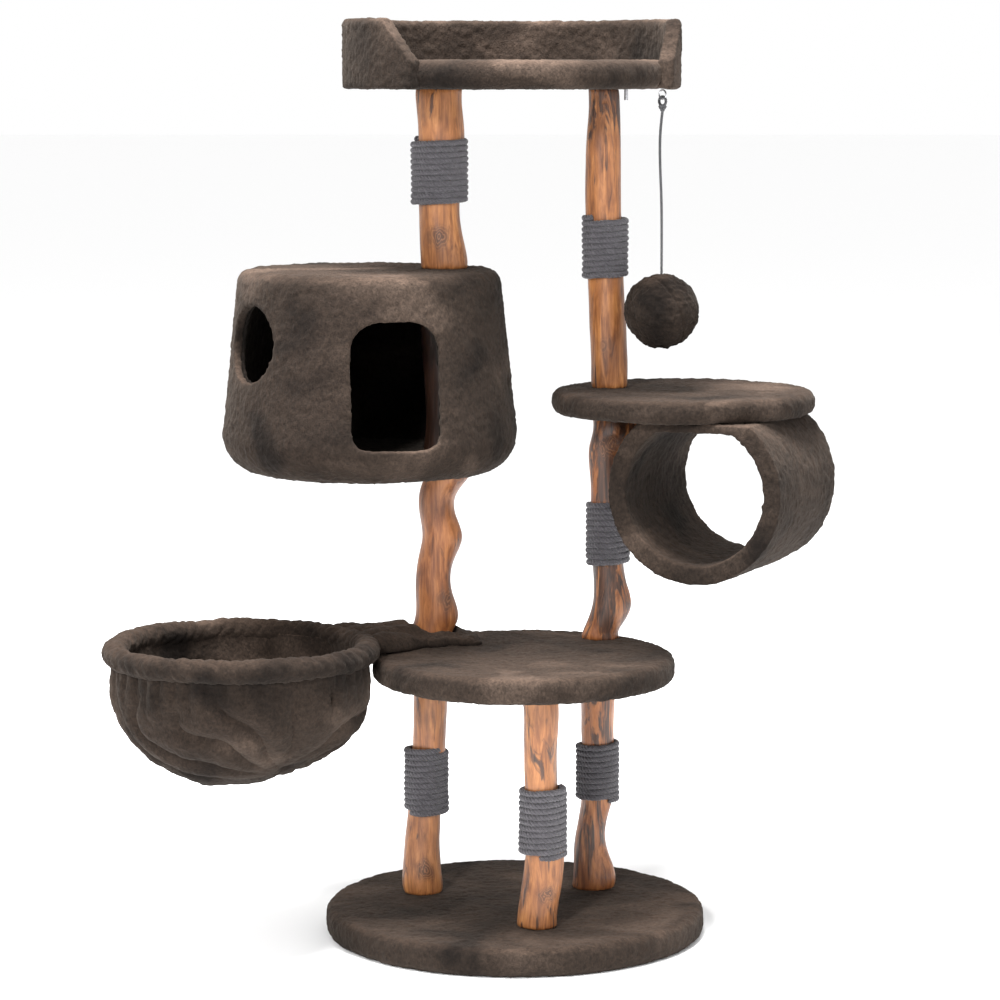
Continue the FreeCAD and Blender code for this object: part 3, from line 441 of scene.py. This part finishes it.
def plain_material(name, colour, roughness, metallic=0.0, speckle=400, wear=0.25):
    """Felt, board or metal with fine speckle and a fine bump."""
    material, nodes, links = new_material(name)
    shader = nodes["Principled BSDF"]
    even = mapped(nodes, links, (1, 1, 1))
    grain = noise_node(nodes, links, even, speckle, 4, 0.6)
    low = tuple(part * (1 - wear) for part in colour)
    high = tuple(min(1, part * (1 + wear)) for part in colour)
    links.new(ramp_node(nodes, links, grain, [(0.3, low), (0.7, high)]), shader.inputs["Base Color"])
    shader.inputs["Roughness"].default_value = roughness
    shader.inputs["Metallic"].default_value = metallic
    links.new(bump_node(nodes, links, grain, 0.25, 0.0004), shader.inputs["Normal"])
    return material


PLUSH = plush_material("plush")
# the lining inside the house: the same plush at a fifth of its brightness, painted shade for the dark inside
PAINTED_SHADE_LINING = plush_material("plush_lining_painted_shade", lift=0.2)
ROPE = rope_material("rope_charcoal", (0.083, 0.075, 0.085), (0.0175, 0.0161, 0.0196))
CORD = rope_material("cord_grey", (0.075, 0.075, 0.08), (0.02, 0.02, 0.022))
STEEL = plain_material("zinc_steel", (0.5, 0.5, 0.52), 0.35, 1.0)
BLACK_STEEL = plain_material("black_steel", (0.03, 0.03, 0.032), 0.45, 0.0)
FELT = plain_material("felt_backing", (0.02, 0.02, 0.02), 0.95, 0.0, 700)
BOARD = plain_material("chipboard", (0.36, 0.25, 0.15), 0.85, 0.0, 260, 0.4)

HONEY = ((0.4, 0.175, 0.058), (0.25, 0.096, 0.028), (0.085, 0.026, 0.007))
AMBER = ((0.39, 0.16, 0.051), (0.24, 0.084, 0.023), (0.08, 0.023, 0.006))
SHADED = ((0.035, 0.013, 0.006), (0.02, 0.007, 0.003), (0.008, 0.003, 0.001))

for node_name, cad in frame["nodes"].items():
    cad.data.materials.clear()
    if node_name.endswith("_board") or node_name in ("house_wall", "tunnel_core", "bed_wall"):
        cad.data.materials.append(BOARD)
    elif node_name == "base_backing":
        cad.data.materials.append(FELT)
    elif node_name.startswith("hammock_"):
        cad.data.materials.append(BLACK_STEEL)
    elif node_name.startswith("toy_"):
        cad.data.materials.append(STEEL if node_name == "toy_eye" else CORD)
    else:
        cad.data.materials.append(STEEL)

# ------------------------------------------------------------------ plush boards and house
PLUSH_VOXEL = 3.4 * MM
POST_VOXEL = 4 * MM


def plush_piece(name, nodes, seed, slot="plush"):
    """One furry cover in place of the CAD nodes that it wraps."""
    piece = solid_copy(name, nodes, PLUSH_VOXEL)
    ruffle(piece, seed)
    piece.data.materials.append(PLUSH if slot == "plush" else PAINTED_SHADE_LINING)
    finish_piece(piece, "tree", slot, *nodes)
    return piece


def puff_sides(piece, node, most):
    """Swell a cushion so that its sides bulge most at half height."""
    low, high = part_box(node)
    share = np.clip((points_of(piece)[:, 2] - low.z) / (high.z - low.z), 0, 1)
    swell(piece, most * np.sin(math.pi * share) ** 0.7)


for seed, label in enumerate(("base", "mid", "side", "bed"), start=1):
    board_cover = plush_piece(f"{label}_cover", [f"{label}_board", f"{label}_plush"], 10 * seed)
puff_sides(board_cover, "bed_plush", 6.5 * MM)
plush_piece("house_cover", ["house_plush", "house_wall", "house_floor_board", "house_top_board"], 60)
# the house's inner lining uses the plush darkened to painted shade
plush_piece("house_inside", ["house_lining"], 65, "lining")
plush_piece("tunnel_cover", ["tunnel_plush", "tunnel_core", "tunnel_lining"], 70)
plush_piece("bed_wall_cover", ["bed_wall_plush", "bed_wall"], 80)

# ------------------------------------------------------------------ wood posts
# each post: its wood, how much bark is left on by share of its height, and its knots (place, size)
POSTS = {
    "post_lower_left": (HONEY, [(0.0, 0.35), (0.35, 0.2), (0.65, 0.15), (1.0, 0.5)],
                        [((-0.143, 0.030, 0.085), 0.022)]),
    "post_lower_front": (HONEY, [(0.0, 0.3), (0.3, 0.35), (0.7, 0.25), (1.0, 0.3)],
                         [((0.058, -0.188, 0.105), 0.02)]),
    "post_lower_right": (AMBER, [(0.0, 0.3), (0.3, 0.4), (0.7, 0.5), (1.0, 0.4)], []),
    "post_middle_left": (AMBER, [(0.0, 0.0), (0.5, 0.1), (0.8, 0.15), (1.0, 0.1)],
                         [((-0.1, 0.034, 0.53), 0.022)]),
    "post_upper_left": (HONEY, [(0.0, 0.2), (0.3, 0.1), (0.7, 0.1), (1.0, 0.25)],
                        [((-0.114, 0.030, 1.103), 0.024)]),
    "post_middle_right": (AMBER, [(0.0, 0.5), (0.25, 0.75), (0.6, 0.45), (1.0, 0.7)],
                          [((0.152, 0.065, 0.765), 0.024)]),
    "post_upper_right": (HONEY, [(0.0, 0.15), (0.5, 0.2), (0.8, 0.35), (1.0, 0.75)],
                         [((0.133, 0.064, 0.93), 0.02)]),
    "house_post": (SHADED, [(0.0, 0.2), (1.0, 0.2)], []),
}


def wood_post(label, seed, tone, bark, knots):
    """A limb with ridged, lumpy sides and flat sawn ends."""
    post = solid_copy(f"{label}_wood", [label], POST_VOXEL, smoothing=1)
    points = points_of(post)
    ridges = 0.9 * MM * fractal(points * np.array([1, 1, 0.15]), 0.013, 3, 100 + seed)
    lumps = 1.4 * MM * fractal(points * np.array([1, 1, 0.5]), 0.03, 2, 200 + seed)
    low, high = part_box(label)
    from_foot, from_top = points[:, 2] - low.z, high.z - points[:, 2]
    inside = smooth_step(0.001, 0.012, from_foot) * smooth_step(0.001, 0.012, from_top)
    swell(post, (ridges + lumps) * inside)
    post.data.materials.append(wood_material(f"wood_{label}", tone, bark, low.z, high.z, knots))
    finish_piece(post, "tree", "post_wood", label)


for seed, (label, (tone, bark, knots)) in enumerate(POSTS.items(), start=1):
    wood_post(label, seed, tone, bark, knots)

# ------------------------------------------------------------------ rope wraps
ROPE_RADIUS = 4.9 * MM
ROPE_PITCH = 9.1 * MM
ROPE_LAY = 17 * MM
TUCK = 5 * MM


def rope_wrap(place, seed):
    """Close turns of rope round a post, a little uneven, with both ends tucked in."""
    low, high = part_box(f"rope_{place}")
    middle = (low + high) / 2
    reach = (high.x - low.x) / 2 - ROPE_RADIUS + 0.3 * MM
    climb = high.z - low.z - 2 * ROPE_RADIUS
    turns = round(climb / ROPE_PITCH) + 0.35
    spacing = 1.6 * MM
    steps = int(turns * 2 * math.pi * reach / spacing)
    share = np.linspace(0, 1, steps)
    angle = 2 * math.pi * turns * share + 0.9 * seed
    level = low.z + ROPE_RADIUS + climb * share
    even = np.stack([reach * np.cos(angle), reach * np.sin(angle), level], axis=1)
    away = reach + 1.1 * MM * fractal(even, 0.02, 2, 300 + seed)
    away -= TUCK * (1 - smooth_step(0, 0.012, share)) + TUCK * smooth_step(0.988, 1, share)
    level = level + 0.9 * MM * fractal(even, 0.016, 2, 320 + seed)
    line = np.stack([middle.x + away * np.cos(angle), middle.y + away * np.sin(angle), level], axis=1)
    rope = twisted(f"{place}_wrap", line, ROPE_RADIUS, ROPE_LAY, ROPE)
    finish_piece(rope, "tree", "rope", f"rope_{place}")


for seed, place in enumerate(("upper_left", "upper_right", "middle_right",
                              "lower_left", "lower_front", "lower_right"), start=1):
    rope_wrap(place, seed)

# ------------------------------------------------------------------ hammock
low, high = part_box("hammock_sleeve")
sleeve_radius = (high.z - low.z) / 2
ring_radius = (high.x - low.x) / 2 - sleeve_radius
ring_centre = np.array((low + high) / 2)
ring_level = ring_centre[2]
low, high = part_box("hammock_bowl")
bag_radius = (high.x - low.x) / 2
bag_band = 40 * MM
bag_depth = ring_level - bag_band - low.z
swivel = next(joint for joint in frame["record"]["behaviour"]["joints"]
              if joint["name"] == "hammock_swivel")
post_x, post_y = swivel["pos_m"][:2]
fine = 1.0
ring_columns = int(440 * fine)
round_ring = np.linspace(0, 2 * math.pi, ring_columns, endpoint=False)


def pile(points, seed, amount=1.0):
    """How far the fur stands out or lies in at each point."""
    clump = 1.8 * (noise(points, 0.009, seed) - 0.5)
    tuft = 1.8 * (noise(points, 0.0048, seed + 1) - 0.5)
    return amount * MM * (clump + tuft + 1.4 * fractal(points, 0.045, 2, seed + 2))


def creases(angle, count, sharpness=0.6):
    """Round puffs between narrow creases: 1 on the puff, 0 in the crease."""
    return np.abs(np.sin(0.5 * count * angle)) ** sharpness


def round_a_gather(direction, gather):
    """For unit directions, the angle round a gathering point and the distance from it."""
    gather = unit(np.array(gather, float))
    first = unit(np.cross(gather, (0, 0, 1)))
    second = np.cross(gather, first)
    distance = np.arccos(np.clip(direction @ gather, -1, 1))
    return np.arctan2(direction @ second, direction @ first), distance


def bag_form(rows):
    """The smooth bag below the ring: each point's share of the drop, direction and place."""
    drop = np.linspace(0.0, 1.0, rows) ** 1.05
    band_share = 0.14
    band = np.clip(drop / band_share, 0, 1)
    dip = np.clip((drop - band_share) / (1 - band_share), 0, 0.994) * math.pi / 2
    flat, deep = np.cos(dip)[:, None], np.sin(dip)[:, None]
    direction = np.stack([flat * np.cos(round_ring), flat * np.sin(round_ring),
                          -np.broadcast_to(deep, (rows, ring_columns))], axis=2)
    skin = direction * np.array([bag_radius, bag_radius, bag_depth])
    rim = -0.25 * sleeve_radius
    on_band = rim + (-bag_band - rim) * band
    skin[:, :, 2] += np.where(drop < band_share, on_band, -bag_band)[:, None]
    return np.repeat(drop, ring_columns), direction.reshape(-1, 3), skin.reshape(-1, 3)


def slit_and_puckers(skin):
    """A short slit near the rim, with cloth puckered round it: (slit depth, pucker height) in mm."""
    from_slit = (skin - np.array([0.149, -0.138, -0.052])) / MM
    sideways = from_slit[:, 0] * 0.75 + from_slit[:, 1] * 0.66
    slit = np.exp(-(sideways / 4.5) ** 2 - (from_slit[:, 2] / 15) ** 2) * (from_slit[:, 1] < 60)
    near = np.exp(-(np.linalg.norm(from_slit, axis=1) / 34) ** 2)
    return 13 * slit, 4.5 * creases(np.arctan2(from_slit[:, 2], sideways), 11) * near


def hammock_bag():
    """The bag of cloth: gathered at the ring, with deep folds that run to a gather low at the front."""
    rows = int(104 * fine)
    drop, direction, skin = bag_form(rows)
    outward = unit(direction / np.array([bag_radius, bag_radius, bag_depth]))
    near_rim = 1 - smooth_step(0.02, 0.36, drop)
    angle_on_ring = np.tile(round_ring, rows)
    wander = fractal(direction, 0.7, 2, 401)

    angle, distance = round_a_gather(direction, (0.078, -0.082, -0.168))
    angle = angle + 0.8 * wander + 0.35 * distance + 0.3 * np.sin(2 * angle + 0.7)
    big = creases(angle, 11, 0.75) * smooth_step(0.08, 0.75, distance) * (1 - 0.7 * near_rim)
    gathers = creases(angle_on_ring + 0.06 * wander, 46, 0.7) * near_rim
    left = 0.5 + 0.5 * np.cos(angle_on_ring - math.pi)
    slit, pucker = slit_and_puckers(skin)
    dimple = 7 * np.exp(-(distance / 0.07) ** 2)
    outside = (MM * (15 * (big - 0.7) + 5.0 * (gathers - 0.5 * near_rim) * (0.6 + 0.8 * left)
                     - slit + pucker - dimple)
               + pile(skin, 410))
    outer = ring_centre + skin + outward * outside[:, None]

    angle, distance = round_a_gather(direction, (-0.03, 0.05, -0.17))
    folds = creases(angle + 0.6 * wander + 0.9 * distance, 8, 0.55) * smooth_step(0.05, 0.5, distance)
    inside = MM * (17 + 17 * folds * (1 - 0.6 * near_rim)) + pile(skin, 430)
    inner = ring_centre + skin - outward * inside[:, None]
    grid = (rows, ring_columns, 3)
    bag = ring_mesh("hammock_bag", np.concatenate([inner.reshape(grid)[::-1], outer.reshape(grid)]), PLUSH)
    finish_piece(bag, "hammock", "plush", "hammock_bowl")


def hammock_roll():
    """The plush roll round the steel ring, lumpy and cinched."""
    round_roll = np.linspace(0, 2 * math.pi, int(44 * fine), endpoint=False)
    rolls, spins = (grid.ravel() for grid in np.meshgrid(round_roll, round_ring, indexing="ij"))
    heading = np.stack([np.cos(spins), np.sin(spins), 0 * spins], axis=1)
    outward = heading * np.cos(rolls)[:, None] + np.array([0, 0, 1]) * np.sin(rolls)[:, None]
    sag = 2.2 * MM * fractal(heading, 0.5, 2, 440)
    centre_line = ring_centre + heading * ring_radius + np.stack([0 * sag, 0 * sag, sag], axis=1)
    thick = sleeve_radius + 1.8 * MM + 2.6 * MM * fractal(centre_line, 0.06, 2, 444)
    surface = centre_line + outward * thick[:, None]
    slant = 0.05 * fractal(heading, 0.2, 2, 446) + 0.07 * np.sin(rolls)
    cinch = creases(spins + slant, 58, 0.5)
    surface += outward * (pile(surface, 450, 1.2) + 2.4 * MM * (cinch - 0.75))[:, None]
    roll = ring_mesh("hammock_roll", surface.reshape(len(round_roll), ring_columns, 3), PLUSH, loop=True)
    finish_piece(roll, "hammock", "plush", "hammock_sleeve")


def hammock_cloth():
    """The cloth laid round the post and drawn out over the rods to the ring."""
    arm = ring_centre[:2] - np.array([post_x, post_y])
    arm_length = np.linalg.norm(arm)
    arm_angle = math.atan2(arm[1], arm[0])
    board_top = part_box("mid_plush")[1].z
    turn = np.linspace(-math.pi, math.pi, int(360 * fine), endpoint=False)
    share = np.linspace(0, 1, int(64 * fine))[:, None]
    post_edge = 37 * MM

    # the outer edge: a wavy skirt, and toward the arm the near side of the ring
    tie_radius = ring_radius + 10 * MM
    capped = np.clip(turn, -0.5, 0.5)
    across_ring = np.sqrt(tie_radius ** 2 - (arm_length * np.sin(capped)) ** 2)
    to_ring = arm_length * np.cos(capped) - across_ring + 4 * MM
    skirt = MM * (72 + 12 * np.sin(3 * turn + 1.1) + 7 * np.sin(7 * turn))
    drawn = 1 - smooth_step(0.36, 0.95, np.abs(turn))
    edge = drawn * to_ring + (1 - drawn) * skirt
    reach = post_edge + (edge - post_edge) * share
    flat_x = post_x + reach * np.cos(turn + arm_angle)
    flat_y = post_y + reach * np.sin(turn + arm_angle)

    # its height: over the rods, up round the post, and in folds
    lift = (ring_level + 5 * MM - board_top) * smooth_step(-0.35, 0.22, share) * drawn
    collar = 13 * MM * np.exp(-((reach - post_edge) / (15 * MM)) ** 2)
    flat_points = np.stack([flat_x.ravel(), flat_y.ravel(), np.zeros(flat_x.size)], axis=1)
    side_wander = 1.5 * fractal(flat_points, 0.08, 2, 470).reshape(reach.shape)
    ring_wander = 2.2 * fractal(flat_points, 0.07, 2, 474).reshape(reach.shape)
    along_folds = creases(reach * np.sin(turn) / (13 * MM) + side_wander, 2, 0.8)
    ring_folds = creases(reach / (11 * MM) + ring_wander, 2, 0.9)
    folds = 7 * MM * (drawn * along_folds + (1 - drawn) * ring_folds)
    plump = np.sqrt(1 - np.abs(2 * share - 1) ** 8)
    lowest = board_top + 1.2 * MM
    under_level = lowest + 0.25 * lift * share
    top_level = under_level + (lowest + collar + lift - under_level + 5 * MM + folds) * plump
    top = np.stack([flat_x, flat_y, top_level], axis=2)
    top[:, :, 2] += pile(top.reshape(-1, 3), 480).reshape(reach.shape) * plump
    under = np.stack([flat_x, flat_y, under_level], axis=2)
    cloth = ring_mesh("hammock_neck_cloth", np.concatenate([top, under[::-1][1:-1]]), PLUSH, loop=True)
    finish_piece(cloth, "hammock", "plush", "hammock_neck")


hammock_bag()
hammock_roll()
hammock_cloth()

# ------------------------------------------------------------------ ball toy
CORD_RADIUS = 2.2 * MM
CORD_LAY = 9 * MM
CORD_ROUTE = [(0.229, 0.025, 1.2981), (0.2272, 0.0255, 1.282), (0.2252, 0.0252, 1.255),
              (0.2256, 0.0245, 1.215), (0.2284, 0.0247, 1.16), (0.229, 0.025, 1.09),
              (0.229, 0.025, 1.0341)]


def ball_fur():
    """A furry ball with three sewn seams drawn in."""
    low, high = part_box("toy_ball")
    centre = np.array((low + high) / 2)
    rows, columns = int(120 * fine), int(240 * fine)
    tilt = np.linspace(0.01, math.pi - 0.01, rows)[:, None]
    spin = np.linspace(0, 2 * math.pi, columns, endpoint=False)
    direction = np.stack([np.sin(tilt) * np.cos(spin), np.sin(tilt) * np.sin(spin),
                          -np.cos(tilt) + 0 * spin], axis=2).reshape(-1, 3)
    form = (high.x - low.x) / 2 * direction
    seams = sum(np.exp(-((direction @ unit(np.array(normal))) / 0.035) ** 2)
                for normal in ((0.82, 0.45, 0.35), (-0.5, 0.8, -0.33), (0.1, -0.4, 0.91)))
    height = pile(form, 500, 1.6) - 2.4 * MM * np.clip(seams, 0, 1.3) - 1.2 * MM
    surface = centre + form + direction * height[:, None]
    ball = ring_mesh("ball_fur", surface.reshape(rows, columns, 3), PLUSH)
    finish_piece(ball, "toy", "plush", "toy_ball")


def smooth_route(route):
    """The points along a NURBS spline that has the route's points as its control points."""
    curve = bpy.data.curves.new("cord_route", "CURVE")
    curve.dimensions = "3D"
    curve.resolution_u = 40
    spline = curve.splines.new("NURBS")
    spline.points.add(len(route) - 1)
    for point, place in zip(spline.points, route):
        point.co = (*place, 1)
    spline.order_u = 3
    spline.use_endpoint_u = True
    holder = bpy.data.objects.new("cord_route", curve)
    mesh = bpy.data.meshes.new_from_object(holder)
    bpy.data.objects.remove(holder)
    return np.array([vertex.co for vertex in mesh.vertices])


def cord_piece(name, line, body, node):
    piece = twisted(name, line, CORD_RADIUS, CORD_LAY, CORD, sides=8)
    return finish_piece(piece, body, "cord", node)


def loop_line():
    """The loop of cord through the screw eye, standing on edge."""
    low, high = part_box("toy_loop")
    reach = (high.z - low.z) / 2 - CORD_RADIUS
    across = unit(np.array([high.x - low.x, low.y - high.y, 0]))
    angle = np.linspace(-math.pi / 2, 1.5 * math.pi, 90)[:, None]
    return np.array((low + high) / 2) + reach * (np.cos(angle) * across + np.sin(angle) * np.array([0, 0, 1]))


def knot_line():
    """A trefoil knot the size of the CAD knot."""
    low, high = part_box("toy_knot")
    size = (high.z - low.z) * 0.16
    angle = np.linspace(0, 2 * math.pi, 120)
    trefoil = np.stack([np.sin(angle) + 2 * np.sin(2 * angle), -np.sin(3 * angle),
                        np.cos(angle) - 2 * np.cos(2 * angle)], axis=1)
    return np.array((low + high) / 2) + size * trefoil


ball_fur()
cord_path = smooth_route(CORD_ROUTE)
cord = cord_piece("toy_cord_twist", cord_path, "toy", "toy_cord")
cord_piece("toy_loop_twist", loop_line(), "toy_link", "toy_loop")
cord_piece("toy_knot_twist", knot_line(), "toy_link", "toy_knot")

# ------------------------------------------------------------------ camera, light and floor
camera_data = bpy.data.cameras.new("camera")
camera = bpy.data.objects.new("camera", camera_data)
bpy.context.scene.collection.objects.link(camera)
bpy.context.scene.camera = camera
camera_data.sensor_width = 36
camera_data.lens = 123.3  # millimetres
camera.location = (-0.0237, -5.3353, 1.3738)
LOOK_DOWN = 7.29  # degrees
camera.rotation_euler = (math.radians(90 - LOOK_DOWN), 0, 0)

world = bpy.data.worlds.new("studio")
bpy.context.scene.world = world
world.use_nodes = True
world.node_tree.nodes["Background"].inputs["Color"].default_value = (1, 1, 1, 1)
world.node_tree.nodes["Background"].inputs["Strength"].default_value = 1.0

floor_mesh = bpy.data.meshes.new("floor")
floor_mesh.from_pydata([(-30, -30, 0), (30, -30, 0), (30, 60, 0), (-30, 60, 0)], [], [(0, 1, 2, 3)])
floor = bpy.data.objects.new("floor", floor_mesh)
bpy.context.scene.collection.objects.link(floor)
floor_material, floor_nodes, floor_links = new_material("floor")
floor_nodes["Principled BSDF"].inputs["Base Color"].default_value = (0.97, 0.97, 0.97, 1)
floor_nodes["Principled BSDF"].inputs["Roughness"].default_value = 0.9
floor.data.materials.append(floor_material)


def area_light(name, place, aim, size, power):
    light = bpy.data.lights.new(name, "AREA")
    light.shape = "DISK"
    light.size = size
    light.energy = power
    thing = bpy.data.objects.new(name, light)
    thing.location = place
    thing.rotation_euler = (Vector(aim) - Vector(place)).to_track_quat("-Z", "Y").to_euler()
    bpy.context.scene.collection.objects.link(thing)


area_light("overhead", (-0.3, -0.7, 4.3), (0, 0, 0.8), 1.6, 560)
area_light("key", (-1.6, -5.0, 3.0), (0, 0, 0.8), 0.7, 230)
area_light("fill", (3.5, -3.5, 1.6), (0, 0, 0.8), 2.5, 30)

bpy.context.scene.view_settings.view_transform = "Standard"
